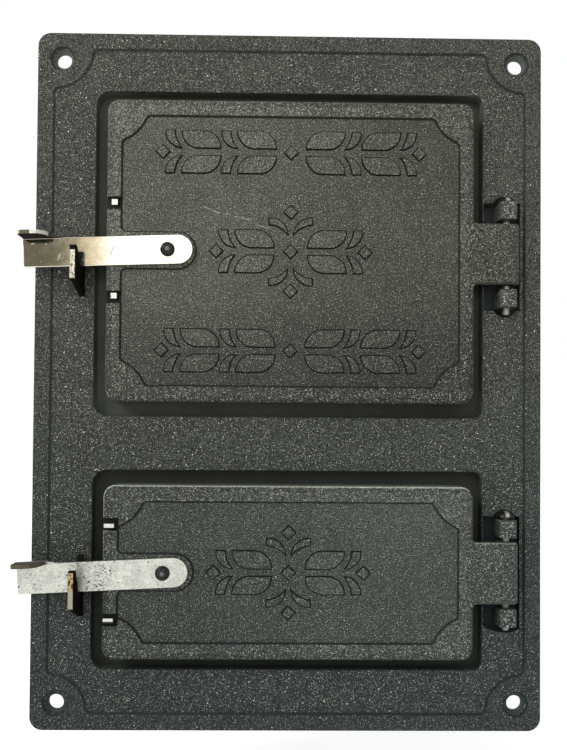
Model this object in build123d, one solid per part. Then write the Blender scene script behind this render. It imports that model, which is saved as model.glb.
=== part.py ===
from build123d import *
import math
import os

# A cast-iron double stove door: one wall frame that carries an upper fire door and a lower ash door.
# Each door hangs on a loose headed pin between two lugs of the frame, and is held shut by a flat steel
# lever that drops into a hook on the frame. Behind each door hangs a sheet-steel heat shield.
# Millimetres. X runs to the right, Z up, and the front faces -Y. A "height" is a distance in front of
# the frame's back face, which lies against the wall at Y = 0. The origin is the centre of the four
# wall screws.

# Wall plate
PLATE_WIDTH = 350.0
PLATE_TALL = 480.0
PLATE_CORNER = 9.0
PLATE_THICK = 5.5
PLATE_EDGE_ROUND = 1.5
BORDER_WIDTH = 12.5
BORDER_RISE = 1.1
BORDER_DRAFT = 55.0
EAR_RADIUS = 26.7
EAR_BLEND = 3.0

# Wall screws
SCREW_INSET_X = 17.5
SCREW_INSET_Z = 18.5
SCREW_HOLE_RADIUS = 5.2
SCREW_SINK_RADIUS = 8.8
SCREW_LAND = 3.0

# Doors
DOOR_WIDTH = 250.0
UPPER_DOOR_TALL = 205.8
LOWER_DOOR_TALL = 116.8
UPPER_DOOR_BELOW_TOP = 49.9
LOWER_DOOR_ABOVE_FOOT = 51.2
DOOR_X = 0.8
DOOR_CORNER = 8.0
DOOR_FRONT = 16.3
DOOR_EDGE_ROUND = 1.6
DOOR_FACE_THICK = 6.0
SKIRT_WALL = 4.5
RIM_SIDE = 10.6
RIM_END = 11.6
PANEL_SINK = 1.5
PANEL_DRAFT = 38.0
CORNER_SCOOP_OFFSET = 10.0
CORNER_SCOOP_RADIUS = 28.6
PANEL_BLEND = 3.0
BOSS_HALF_WIDTH = 13.2
BOSS_REACH = 61.4

# Recess in the frame round each door, the ledge that the door closes on, and the collar behind it
RECESS_GAP_LATCH = 9.6
RECESS_GAP_HINGE = 8.2
RECESS_GAP_END = 9.4
RECESS_CORNER_LATCH = 9.5
RECESS_CORNER_HINGE = 5.5
RECESS_EDGE_ROUND = 0.9
RECESS_WALL = 5.0
SEAT_HEIGHT = -3.0
SEAT_CLEARANCE = 0.3
SEAT_THICK = 5.0
SEAT_WIDTH = 16.0
COLLAR_WALL = 5.0
COLLAR_DEPTH = 32.0
OPENING_CORNER = 5.0

# Hinges
HINGE_REACH = 24.2
HINGE_HEIGHT = 7.5
TAB_TALL = 41.6
TAB_THICK = 6.0
UPPER_TAB_END = 8.0
LOWER_TAB_END = 7.0
BARREL_FLAT = 3.0
BARREL_BACK_RADIUS = 6.2
TAB_ROOT_BLEND = 3.0
LUG_GAP = 3.4
LUG_TALL = 11.8
LUG_HALF_WIDTH = 5.8
LUG_CORNER = 2.4
PIN_RADIUS = 2.8
PIN_CLEARANCE = 0.08
PIN_SHANK = 77.0
PIN_HEAD_RADIUS = 6.5
PIN_HEAD_TALL = 4.4
PIN_HEAD_RIM = 1.0
PIN_TIP_CHAMFER = 0.6
UPPER_PIN_LIFT = 0.0
LOWER_PIN_LIFT = 1.2
POCKET_INNER_REACH = 14.9
POCKET_OUTER_REACH = 10.4
POCKET_SIDE_HALF = 37.7
POCKET_BAY_REACH = 42.2
POCKET_TOP_BAY_HALF = 8.0
UPPER_BOTTOM_BAY_HALF = 7.5
LOWER_BOTTOM_BAY_HALF = 14.9
POCKET_FLOOR = -4.0
POCKET_WALL = 3.6

# Latch levers and their rivets
UPPER_PIVOT_INSET = 41.9
LOWER_PIVOT_INSET = 40.7
LEVER_WIDTH = 19.8
LEVER_THICK = 2.5
LEVER_GAP = 0.2
LEVER_TAIL = 96.8
LEVER_NOSE = 16.8
LEVER_CORNER = 1.5
LEVER_EDGE_ROUND = 0.5
UPPER_LEVER_TILT = 2.0
LOWER_LEVER_TILT = 2.8
EAR_LONG = 26.0
EAR_DEEP = 14.5
EAR_RISE = 2.1
EAR_CORNER = 3.0
EAR_FLAT = 13.0
EAR_WAIST = (19.0, 4.9)
EAR_RUNOUT = 6.0
EAR_INNER_BEND = 0.6
EAR_HEEL = 5.0
RIVET_RADIUS = 3.0
RIVET_CLEARANCE = 0.08
RIVET_HEAD_RADIUS = 5.0
RIVET_HEAD_TALL = 3.2
RIVET_HEAD_FLAT = 2.1
RIVET_HEAD_LIFT = 0.1
RIVET_TAIL_RADIUS = 4.6
RIVET_TAIL_FLAT = 2.2
RIVET_RIM = 0.5
RIVET_TAIL_TALL = 2.2
WASHER_RADIUS = 7.0
WASHER_THICK = 1.5

# Keepers: steel hooks that stand on the frame. Heights along Z are measured from the lever's pivot.
UPPER_KEEPER_GAP = 18.4
LOWER_KEEPER_GAP = 16.9
KEEPER_THICK = 3.6
KEEPER_FRONT = 33.0
KEEPER_NOSE_THICK = 6.0
KEEPER_SLOT_CLEARANCE = 0.6
KEEPER_FLOOR_CLEARANCE = 0.3
UPPER_KEEPER_REACH = {"nose_top": -0.3, "nose_bottom": -22.4, "foot_top": 6.6, "foot_bottom": -30.2}
LOWER_KEEPER_REACH = {"nose_top": 3.3, "nose_bottom": -21.0, "foot_top": 9.8, "foot_bottom": -32.2}
KEEPER_TANG_INSET = 5.0
KEEPER_TANG_CLEARANCE = 0.05
KEEPER_BACK = 3.4
KEEPER_ROUND = 1.2

# Heat shields and what holds them
SHIELD_THICK = 1.5
SHIELD_FRONT = 4.5
SHIELD_EDGE_GAP = 1.2
SHIELD_CORNER = 6.0
TAB_SPREAD = 32.0
SLOT_TALL = 8.6
SLOT_DEEP = 4.0
SLOT_WINDOW_WIDTH = 2.7
SLOT_WINDOW_PLAY = 0.5
CLIP_INSET = 7.8
CLIP_LIFT = 0.2
UPPER_CLIP_LONG = 4.8
UPPER_CLIP_WIDE = 3.8
UPPER_CLIP_SHIFT = 1.1
LOWER_CLIP_LONG = 7.6
LOWER_CLIP_WIDE = 3.2
LOWER_CLIP_SHIFT = -1.2
PAD_RADIUS = 4.0
PAD_INSET = 24.0
HOOK_LONG = 6.5
HOOK_TALL = 12.0
HOOK_THICK = 2.4
HOOK_PLAY = 0.3

# Ornament, raised on each door's panel
PAD_RISE = 1.0
PAD_ROOT = 0.1
PAD_DRAFT = 42.0
DIAMOND_HALF = 5.6
DIAMOND_STEP_Z = 27.0
DIAMOND_END_X = 50.7
LEAF_TIP = (-38.5, 15.2)
LEAF_ROOT = (-11.0, 1.9)
LEAF_STRAIGHT = 0.6
SPRIG_TOP_LEFT = (-49.4, 15.2)
SPRIG_TOP_RIGHT = (-42.3, 15.2)
SPRIG_TIP = (-36.8, 2.0)
SPRIG_INNER = (-40.9, 8.6)
SPRIG_OUTER = (-46.5, 5.9)
CROSS_TOP_LEFT = (-15.4, 23.7)
CROSS_BOTTOM_LEFT = (-15.4, 17.8)
CROSS_TIP = (-1.3, 10.0)
CROSS_INNER = (-7.5, 15.6)
CROSS_OUTER = (-6.2, 21.2)
ROW_OFFSET_Z = 67.7
ROW_STEP_X = 37.9
ROW_SHIFT_X = 1.3

# Values that follow from the sizes above
PANEL_HEIGHT = DOOR_FRONT - PANEL_SINK
FACE_BACK = DOOR_FRONT - DOOR_FACE_THICK
SKIRT_BACK = SEAT_HEIGHT + SEAT_CLEARANCE
SEAT_BACK = SEAT_HEIGHT - SEAT_THICK
BORDER_HEIGHT = PLATE_THICK + BORDER_RISE
LEVER_BACK = DOOR_FRONT + LEVER_GAP
LEVER_FRONT = LEVER_BACK + LEVER_THICK
DOOR_LEFT = DOOR_X - DOOR_WIDTH / 2
DOOR_RIGHT = DOOR_X + DOOR_WIDTH / 2
UPPER_DOOR_Z = PLATE_TALL / 2 - UPPER_DOOR_BELOW_TOP - UPPER_DOOR_TALL / 2
LOWER_DOOR_Z = -PLATE_TALL / 2 + LOWER_DOOR_ABOVE_FOOT + LOWER_DOOR_TALL / 2
HINGE_X = DOOR_RIGHT + HINGE_REACH
BOSS_TIP_X = DOOR_LEFT + BOSS_REACH
CLIP_RIGHT_X = DOOR_LEFT + CLIP_INSET
PIN_BORE = PIN_RADIUS + PIN_CLEARANCE
RIVET_BORE = RIVET_RADIUS + RIVET_CLEARANCE
SHIELD_BACK = SHIELD_FRONT - SHIELD_THICK


def slab(outline, back, front, taper=0.0):
    """A plate with this outline, drawn as seen from the front, between two heights."""
    return extrude(Plane.XZ.offset(back) * outline, amount=front - back, taper=taper)


def upright(plan, bottom, top):
    """A solid with this plan, drawn from above with the height as -Y, between two levels of Z."""
    return extrude(Plane.XY.offset(bottom) * plan, amount=top - bottom)


def round_rod(x, z, radius, back, front):
    """A round rod square to the wall."""
    return slab(Pos(x, z) * Circle(radius), back, front)


def box_outline(left, right, bottom, top):
    """A plain rectangle given by its four sides."""
    return Pos((left + right) / 2, (bottom + top) / 2) * Rectangle(right - left, top - bottom)


def blend_corners(outline, points, radius):
    """Round the corners of an outline that lie nearest to the given points."""
    corners = [outline.vertices().sort_by_distance((x, z, 0))[0] for x, z in points]
    return fillet(corners, radius)


def rounded_box(left, right, bottom, top, left_radius, right_radius):
    """A rectangle given by its four sides, with its own corner radius at the left and at the right."""
    outline = box_outline(left, right, bottom, top)
    outline = blend_corners(outline, [(left, bottom), (left, top)], left_radius)
    return blend_corners(outline, [(right, bottom), (right, top)], right_radius)


def front_rim(solid):
    """The outer edges of the frontmost face of a solid."""
    return solid.faces().sort_by(Axis.Y)[0].outer_wire().edges()


def frame_panel_outline():
    """The low field of the plate inside its border, scooped out round each screw ear."""
    width = PLATE_WIDTH - 2 * BORDER_WIDTH
    tall = PLATE_TALL - 2 * BORDER_WIDTH
    outline = Rectangle(width, tall)
    ends = []
    for side in (-1, 1):
        for end in (-1, 1):
            corner = (side * width / 2, end * tall / 2)
            outline -= Pos(*corner) * Circle(EAR_RADIUS)
            ends.append((corner[0] - side * EAR_RADIUS, corner[1]))
            ends.append((corner[0], corner[1] - end * EAR_RADIUS))
    return blend_corners(outline, ends, EAR_BLEND)


def recess_outline(door, grow=0.0):
    """The recess round one door, or an outline larger than it by grow on every side."""
    reach = door["tall"] / 2 + RECESS_GAP_END + grow
    return rounded_box(
        DOOR_LEFT - RECESS_GAP_LATCH - grow, DOOR_RIGHT + RECESS_GAP_HINGE + grow,
        door["z"] - reach, door["z"] + reach, RECESS_CORNER_LATCH + grow, RECESS_CORNER_HINGE + grow)


def opening_outline(door, grow=0.0):
    """The clear opening inside the ledge, or an outline larger than it by grow."""
    reach = door["tall"] / 2 + RECESS_GAP_END - SEAT_WIDTH + grow
    left = DOOR_LEFT - RECESS_GAP_LATCH + SEAT_WIDTH - grow
    right = DOOR_RIGHT + RECESS_GAP_HINGE - SEAT_WIDTH + grow
    corner = OPENING_CORNER + grow
    return rounded_box(left, right, door["z"] - reach, door["z"] + reach, corner, corner)


def pocket_bay(half_width, side, crown):
    """The round bay at a pocket's end that leaves room for the pin's head or tail."""
    edge = ThreePointArc((HINGE_X - half_width, side), (HINGE_X, crown), (HINGE_X + half_width, side))
    edge += Line((HINGE_X + half_width, side), (HINGE_X - half_width, side))
    return make_face(edge)


def pocket_outline(door, grow=0.0):
    """The pocket behind a hinge, with a bay at each end, or an outline larger than it by grow."""
    left = HINGE_X - POCKET_INNER_REACH - grow
    right = HINGE_X + POCKET_OUTER_REACH + grow
    side = POCKET_SIDE_HALF + grow
    crown = POCKET_BAY_REACH + grow
    bays = pocket_bay(POCKET_TOP_BAY_HALF + grow, side, crown)
    bays += pocket_bay(door["bay_half"] + grow, -side, -crown)
    bays &= box_outline(left, right, -crown, crown)
    return Pos(0, door["z"]) * (box_outline(left, right, -side, side) + bays)


def hinge_lug(bottom):
    """A lug of the frame that rises from its pocket and holds one end of the hinge pin."""
    plan = box_outline(HINGE_X - LUG_HALF_WIDTH, HINGE_X + LUG_HALF_WIDTH, -DOOR_FRONT, -POCKET_FLOOR + 0.5)
    front = [(HINGE_X - LUG_HALF_WIDTH, -DOOR_FRONT), (HINGE_X + LUG_HALF_WIDTH, -DOOR_FRONT)]
    plan = blend_corners(plan, front, LUG_CORNER)
    plan -= Pos(HINGE_X, -HINGE_HEIGHT) * Circle(PIN_BORE)
    return upright(plan, bottom, bottom + LUG_TALL)


def screw_hole(x, z):
    """A countersunk hole through a screw ear."""
    sink = SCREW_SINK_RADIUS - SCREW_HOLE_RADIUS
    profile = Polyline(
        (0, -1), (SCREW_HOLE_RADIUS, -1), (SCREW_HOLE_RADIUS, SCREW_LAND),
        (SCREW_SINK_RADIUS, BORDER_HEIGHT), (SCREW_SINK_RADIUS + sink, BORDER_HEIGHT + sink),
        (0, BORDER_HEIGHT + sink), close=True)
    cutter = revolve(make_face(profile), Axis.Y)
    return Pos(x, 0, z) * Rot(180, 0, 0) * cutter


def keeper_slot(door):
    """The slot through the plate that a keeper's tang is riveted in."""
    half = KEEPER_THICK / 2 + KEEPER_TANG_CLEARANCE
    reach = door["keeper"]
    bottom = door["z"] + reach["foot_bottom"] + KEEPER_TANG_INSET - KEEPER_TANG_CLEARANCE
    top = door["z"] + reach["foot_top"] - KEEPER_TANG_INSET + KEEPER_TANG_CLEARANCE
    return slab(box_outline(door["keeper_x"] - half, door["keeper_x"] + half, bottom, top), -1, BORDER_HEIGHT)


def make_frame(doors):
    """The frame: one sand casting with plate, recesses, ledges, collars, hinge pockets and lugs."""
    plate = slab(RectangleRounded(PLATE_WIDTH, PLATE_TALL, PLATE_CORNER), 0, BORDER_HEIGHT)
    plate = fillet(front_rim(plate), PLATE_EDGE_ROUND)
    plate -= slab(frame_panel_outline(), PLATE_THICK, BORDER_HEIGHT + 0.2 * BORDER_RISE, -BORDER_DRAFT)
    for door in doors:
        plate -= slab(recess_outline(door), -1, BORDER_HEIGHT)
    panel = plate.faces().filter_by_position(Axis.Y, -PLATE_THICK - 0.01, -PLATE_THICK + 0.01)[0]
    recess_edges = [edge for wire in panel.inner_wires() for edge in wire.edges()]
    plate = fillet(recess_edges, RECESS_EDGE_ROUND)
    for door in doors:
        wall = slab(recess_outline(door, RECESS_WALL), SEAT_BACK, 0)
        wall += slab(opening_outline(door, COLLAR_WALL), -COLLAR_DEPTH, SEAT_BACK)
        wall -= slab(recess_outline(door), SEAT_HEIGHT, 1)
        wall -= slab(opening_outline(door), -COLLAR_DEPTH, SEAT_HEIGHT)
        plate += wall
    for door in doors:
        plate += slab(pocket_outline(door, POCKET_WALL) - recess_outline(door), POCKET_FLOOR - POCKET_WALL, 0)
    for door in doors:
        plate -= slab(pocket_outline(door), POCKET_FLOOR, BORDER_HEIGHT)
    for door in doors:
        plate += hinge_lug(door["z"] + TAB_TALL / 2 + LUG_GAP)
        plate += hinge_lug(door["z"] - TAB_TALL / 2 - LUG_GAP - LUG_TALL)
    for side in (-1, 1):
        for end in (-1, 1):
            x = side * (PLATE_WIDTH / 2 - SCREW_INSET_X)
            plate -= screw_hole(x, end * (PLATE_TALL / 2 - SCREW_INSET_Z))
    for door in doors:
        plate -= keeper_slot(door)
    return plate


def door_panel_outline(door):
    """The sunk panel of a door: scooped corners, and a boss left standing under the latch lever."""
    width = DOOR_WIDTH - 2 * RIM_SIDE
    tall = door["tall"] - 2 * RIM_END
    outline = Rectangle(width, tall)
    reach = math.sqrt(CORNER_SCOOP_RADIUS ** 2 - CORNER_SCOOP_OFFSET ** 2) - CORNER_SCOOP_OFFSET
    ends = []
    for side in (-1, 1):
        for end in (-1, 1):
            corner = (side * width / 2, end * tall / 2)
            centre = (corner[0] + side * CORNER_SCOOP_OFFSET, corner[1] + end * CORNER_SCOOP_OFFSET)
            outline -= Pos(*centre) * Circle(CORNER_SCOOP_RADIUS)
            ends.append((corner[0] - side * reach, corner[1]))
            ends.append((corner[0], corner[1] - end * reach))
    boss_end = BOSS_TIP_X - BOSS_HALF_WIDTH - DOOR_X
    outline -= box_outline(-width / 2 - 1, boss_end, -BOSS_HALF_WIDTH, BOSS_HALF_WIDTH)
    outline -= Pos(boss_end, 0) * Circle(BOSS_HALF_WIDTH)
    ends += [(-width / 2, -BOSS_HALF_WIDTH), (-width / 2, BOSS_HALF_WIDTH)]
    outline = blend_corners(outline, ends, PANEL_BLEND)
    return Pos(DOOR_X, door["z"]) * outline


def leaf():
    """A broad leaf, the same when turned half round: a straight side and a bowed side, twice."""
    (tip_x, tip_z), (root_x, root_z) = LEAF_TIP, LEAF_ROOT
    run = (root_x - tip_x) * LEAF_STRAIGHT
    bow_x = (root_x - tip_x - run) * (1 - math.cos(math.pi / 4))
    bow_z = (tip_z - root_z) * (1 - math.sin(math.pi / 4))
    edge = Line(LEAF_TIP, (tip_x + run, tip_z))
    edge += ThreePointArc((tip_x + run, tip_z), (root_x - bow_x, tip_z - bow_z), LEAF_ROOT)
    edge += Line(LEAF_ROOT, (root_x - run, root_z))
    edge += ThreePointArc((root_x - run, root_z), (tip_x + bow_x, root_z + bow_z), LEAF_TIP)
    return make_face(edge)


def horn(end_a, end_b, inner, tip, outer):
    """A narrow curved leaf: a straight end, and two bowed sides that meet in a tip."""
    edge = Line(end_a, end_b) + ThreePointArc(end_b, inner, tip) + ThreePointArc(tip, outer, end_a)
    return make_face(edge)


def diamond():
    """A square set on its corner."""
    return Rot(0, 0, 45) * Rectangle(DIAMOND_HALF * math.sqrt(2), DIAMOND_HALF * math.sqrt(2))


def both_ways(outlines):
    """Each outline with its copies mirrored to the right and downwards."""
    right = [mirror(item, about=Plane.YZ) for item in outlines]
    return [item for half in (outlines, right) for item in half] + [
        mirror(item, about=Plane.XZ) for half in (outlines, right) for item in half]


def centre_ornament():
    """The motif in the middle of each door: five diamonds, with leaves between them."""
    sprig = horn(SPRIG_TOP_LEFT, SPRIG_TOP_RIGHT, SPRIG_INNER, SPRIG_TIP, SPRIG_OUTER)
    cross = horn(CROSS_TOP_LEFT, CROSS_BOTTOM_LEFT, CROSS_INNER, CROSS_TIP, CROSS_OUTER)
    places = [(0, 0), (-DIAMOND_END_X, 0), (DIAMOND_END_X, 0), (0, -DIAMOND_STEP_Z), (0, DIAMOND_STEP_Z)]
    return both_ways([leaf(), sprig, cross]) + [Pos(x, z) * diamond() for x, z in places]


def row_ornament():
    """The band above and below the middle: two pairs of leaves to each side of a diamond."""
    sprig = horn(SPRIG_TOP_LEFT, SPRIG_TOP_RIGHT, SPRIG_INNER, SPRIG_TIP, SPRIG_OUTER)
    outlines = []
    for shift in (ROW_SHIFT_X, ROW_SHIFT_X - ROW_STEP_X):
        outlines += [Pos(shift, 0) * leaf(), Pos(shift, 0) * sprig]
    end = DIAMOND_END_X + ROW_STEP_X - ROW_SHIFT_X
    return both_ways(outlines) + [Pos(x, 0) * diamond() for x in (-end, 0, end)]


def raised(outlines, door, row_z=0.0):
    """The ornament's raised pads, with drafted sides, rooted a little way into the panel."""
    place = Pos(DOOR_X, door["z"] + row_z)
    root = PANEL_HEIGHT - PAD_ROOT
    top = PANEL_HEIGHT + PAD_RISE
    return [slab(place * item, root, top, PAD_DRAFT) for item in outlines]


def hinge_barrel(door):
    """The end of a door's hinge tab, which turns round the pin between the lugs."""
    end = HINGE_X + door["tab_end"]
    front = box_outline(HINGE_X - BARREL_BACK_RADIUS, end, -DOOR_FRONT, -HINGE_HEIGHT)
    front = blend_corners(front, [(end, -DOOR_FRONT)], door["tab_end"] - BARREL_FLAT)
    plan = front + Pos(HINGE_X, -HINGE_HEIGHT) * Circle(BARREL_BACK_RADIUS)
    plan += box_outline(DOOR_RIGHT - DOOR_EDGE_ROUND, HINGE_X, -DOOR_FRONT, -(DOOR_FRONT - TAB_THICK))
    plan -= Pos(HINGE_X, -HINGE_HEIGHT) * Circle(PIN_BORE)
    return upright(plan, door["z"] - TAB_TALL / 2, door["z"] + TAB_TALL / 2)


def shield_slot(door, side):
    """A notch across the rim at the latch side, with a window in its floor for a shield's clip."""
    z = door["z"] + side * TAB_SPREAD
    notch = box_outline(DOOR_LEFT - 1, DOOR_LEFT + RIM_SIDE, z - SLOT_TALL / 2, z + SLOT_TALL / 2)
    clip_z = z + door["clip_shift"]
    half = door["clip_wide"] / 2 + SLOT_WINDOW_PLAY
    right = CLIP_RIGHT_X + SLOT_WINDOW_PLAY
    window = box_outline(right - SLOT_WINDOW_WIDTH, right, clip_z - half, clip_z + half)
    return slab(notch, DOOR_FRONT - SLOT_DEEP, DOOR_FRONT) + slab(window, FACE_BACK - 1, DOOR_FRONT)


def shield_supports(door):
    """Four pads that the shield rests on, and two cast hooks that hold its edge at the hinge side."""
    solids = []
    for x in (DOOR_LEFT + PAD_INSET, DOOR_RIGHT - PAD_INSET):
        for z in (door["z"] - door["tall"] / 2 + PAD_INSET, door["z"] + door["tall"] / 2 - PAD_INSET):
            solids.append(round_rod(x, z, PAD_RADIUS, SHIELD_FRONT, FACE_BACK + 1))
    inner = DOOR_RIGHT - SKIRT_WALL
    front = SHIELD_BACK - HOOK_PLAY
    for side in (-1, 1):
        z = door["z"] + side * TAB_SPREAD
        hook = box_outline(inner - HOOK_LONG, inner + 1, z - HOOK_TALL / 2, z + HOOK_TALL / 2)
        solids.append(slab(hook, front - HOOK_THICK, front))
    return solids


def make_door(door, ornament):
    """One door: a cast dish with a hinge tab, a sunk panel with raised ornament, and a deep skirt."""
    place = Pos(DOOR_X, door["z"])
    outer = place * RectangleRounded(DOOR_WIDTH, door["tall"], DOOR_CORNER)
    inner = place * RectangleRounded(
        DOOR_WIDTH - 2 * SKIRT_WALL, door["tall"] - 2 * SKIRT_WALL, DOOR_CORNER - SKIRT_WALL)
    tab_top = door["z"] + TAB_TALL / 2
    tab_bottom = door["z"] - TAB_TALL / 2
    face = outer + box_outline(DOOR_RIGHT - 1, DOOR_RIGHT + 3 * TAB_ROOT_BLEND, tab_bottom, tab_top)
    face = blend_corners(face, [(DOOR_RIGHT, tab_bottom), (DOOR_RIGHT, tab_top)], TAB_ROOT_BLEND)
    solid = slab(face, FACE_BACK, DOOR_FRONT)
    solid += slab(outer - inner, SKIRT_BACK, FACE_BACK)
    solid += hinge_barrel(door)
    solid = fillet(front_rim(solid), DOOR_EDGE_ROUND)
    solid -= slab(door_panel_outline(door), PANEL_HEIGHT, DOOR_FRONT + PANEL_SINK, -PANEL_DRAFT)
    for side in (-1, 1):
        solid -= shield_slot(door, side)
    for piece in ornament + shield_supports(door):
        solid += piece
    solid -= round_rod(door["pivot_x"], door["z"], RIVET_BORE, SKIRT_BACK, DOOR_FRONT)
    return solid


def dome(radius, flat, tall, rim):
    """Half of the outline of a domed head that stands on its base: a short rim, a bow and a flat top."""
    shoulder = (flat + (radius - flat) * 0.72, rim + (tall - rim) * 0.66)
    edge = Line((0, 0), (radius, 0)) + Line((radius, 0), (radius, rim))
    edge += ThreePointArc((radius, rim), shoulder, (flat, tall))
    edge += Line((flat, tall), (0, tall)) + Line((0, tall), (0, 0))
    return make_face(edge)


def make_hinge_pin(door):
    """A loose pin with a domed head, dropped through both lugs and the door's tab from above."""
    seat = door["z"] + TAB_TALL / 2 + LUG_GAP + LUG_TALL + door["pin_lift"]
    head = revolve(Plane.XZ * dome(PIN_HEAD_RADIUS, PIN_RADIUS / 2, PIN_HEAD_TALL, PIN_HEAD_RIM), Axis.Z)
    shank = Pos(0, 0, -PIN_SHANK / 2) * Cylinder(PIN_RADIUS, PIN_SHANK)
    shank = chamfer(shank.edges().sort_by(Axis.Z)[0], PIN_TIP_CHAMFER)
    return Pos(HINGE_X, -HINGE_HEIGHT, seat) * (head + shank)


def lever_bar(door):
    """The flat bar of a lever, with its front edges broken and room left for the ear."""
    half = LEVER_WIDTH / 2
    left = door["pivot_x"] - LEVER_TAIL
    right = door["pivot_x"] + LEVER_NOSE
    bar = box_outline(left, right - half, door["z"] - half, door["z"] + half)
    bar += Pos(right - half, door["z"]) * Circle(half)
    bar = blend_corners(bar, [(left, door["z"] - half)], LEVER_CORNER)
    solid = slab(bar, LEVER_BACK, LEVER_FRONT)
    solid = fillet(front_rim(solid), LEVER_EDGE_ROUND)
    top = door["z"] + half
    solid -= slab(box_outline(left - 1, left + EAR_LONG, top - EAR_HEEL, top + 1), LEVER_BACK, LEVER_FRONT)
    return solid - round_rod(door["pivot_x"], door["z"], RIVET_BORE, LEVER_BACK, LEVER_FRONT)


def lever_ear(door):
    """The ear of a lever: a tongue that stands up from the bar's top edge and is bent forward."""
    top = door["z"] + LEVER_WIDTH / 2
    left = door["pivot_x"] - LEVER_TAIL
    end = left + EAR_LONG
    ear_top = top + EAR_RISE
    ear_bottom = ear_top - LEVER_THICK
    reach = LEVER_FRONT + EAR_DEEP
    heel = top - EAR_HEEL
    section = make_face(Polyline(
        (LEVER_BACK, heel), (LEVER_BACK, ear_top), (reach, ear_top), (reach, ear_bottom),
        (LEVER_FRONT, ear_bottom), (LEVER_FRONT, heel), close=True))
    section = blend_corners(section, [(LEVER_BACK, ear_top)], EAR_INNER_BEND + LEVER_THICK)
    section = blend_corners(section, [(LEVER_FRONT, ear_bottom)], EAR_INNER_BEND)
    side = Plane(origin=(left, 0, 0), x_dir=(0, -1, 0), z_dir=(-1, 0, 0))
    ear = extrude(side * section, amount=-EAR_LONG)
    waist_x, waist_deep = EAR_WAIST
    shoulder = ((EAR_FLAT + 2 * waist_x) / 3, EAR_DEEP - (EAR_DEEP - waist_deep) * 0.42)
    hollow = (waist_x + (EAR_LONG - waist_x) * 0.32, waist_deep * 0.42)
    points = [(left + along, -(LEVER_FRONT + deep)) for along, deep in
              ((EAR_FLAT, EAR_DEEP), shoulder, EAR_WAIST, hollow, (EAR_LONG, 0))]
    edge = Line((left, -LEVER_BACK), (left, -reach)) + Line((left, -reach), points[0])
    edge += ThreePointArc(points[0], points[1], points[2]) + ThreePointArc(points[2], points[3], points[4])
    edge += Line(points[4], (end, -LEVER_BACK)) + Line((end, -LEVER_BACK), (left, -LEVER_BACK))
    plan = blend_corners(make_face(edge), [(left, -reach)], EAR_CORNER)
    crown = Polyline(
        (left, heel), (left, ear_top), (end - EAR_RUNOUT, ear_top), (end, top), (end, heel), close=True)
    return ear & upright(plan, heel, ear_top) & slab(make_face(crown), LEVER_BACK, reach)


def make_lever(door):
    """A flat bar pivoted on the door, with an ear to lift it by, turned to where it rests."""
    pivot = Axis((door["pivot_x"], 0, door["z"]), (0, 1, 0))
    return (lever_bar(door) + lever_ear(door)).rotate(pivot, -door["tilt"])


def make_rivet(door):
    """The rivet that the lever turns on: a domed head in front, and a tail closed over a washer."""
    head = revolve(Plane.XZ * dome(RIVET_HEAD_RADIUS, RIVET_HEAD_FLAT, RIVET_HEAD_TALL, RIVET_RIM), Axis.Z)
    tail = revolve(Plane.XZ * dome(RIVET_TAIL_RADIUS, RIVET_TAIL_FLAT, RIVET_TAIL_TALL, RIVET_RIM), Axis.Z)
    head_seat = LEVER_FRONT + RIVET_HEAD_LIFT
    tail_seat = FACE_BACK - WASHER_THICK
    rivet = round_rod(0, 0, RIVET_RADIUS, tail_seat, head_seat)
    rivet += Pos(0, -head_seat, 0) * Rot(90, 0, 0) * head
    rivet += Pos(0, -tail_seat, 0) * Rot(-90, 0, 0) * tail
    return Pos(door["pivot_x"], 0, door["z"]) * rivet


def make_washer(door):
    """The washer under the rivet's tail, on the back of the door."""
    ring = Pos(door["pivot_x"], door["z"]) * (Circle(WASHER_RADIUS) - Circle(RIVET_BORE))
    return slab(ring, FACE_BACK - WASHER_THICK, FACE_BACK)


def make_keeper(door):
    """The hook that holds a lever: a foot and tang in the plate, a floor, and a nose before the lever."""
    slope = math.radians(door["tilt"])
    away = door["pivot_x"] - door["keeper_x"] + KEEPER_THICK / 2
    lever_bottom = door["z"] - LEVER_WIDTH / 2 / math.cos(slope) - away * math.tan(slope)
    floor = lever_bottom - KEEPER_FLOOR_CLEARANCE
    heights = {name: door["z"] + offset for name, offset in door["keeper"].items()}
    nose_back = KEEPER_FRONT - KEEPER_NOSE_THICK
    slot_front = LEVER_FRONT + KEEPER_SLOT_CLEARANCE
    slot_back = PLATE_THICK + KEEPER_BACK
    outline = make_face(Polyline(
        (PLATE_THICK, heights["foot_bottom"]), (KEEPER_FRONT, heights["nose_bottom"]),
        (KEEPER_FRONT, heights["nose_top"]), (nose_back, heights["nose_top"]),
        (slot_front, floor), (slot_back, floor),
        (slot_back, heights["foot_top"]), (PLATE_THICK, heights["foot_top"]), close=True))
    outline = blend_corners(outline, [
        (KEEPER_FRONT, heights["nose_bottom"]), (KEEPER_FRONT, heights["nose_top"]),
        (nose_back, heights["nose_top"]), (slot_back, heights["foot_top"]),
        (slot_front, floor), (slot_back, floor)], KEEPER_ROUND)
    outline += box_outline(
        0, PLATE_THICK + 0.5,
        heights["foot_bottom"] + KEEPER_TANG_INSET, heights["foot_top"] - KEEPER_TANG_INSET)
    side = Plane(origin=(door["keeper_x"] + KEEPER_THICK / 2, 0, 0), x_dir=(0, -1, 0), z_dir=(-1, 0, 0))
    return extrude(side * outline, amount=KEEPER_THICK)


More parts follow.
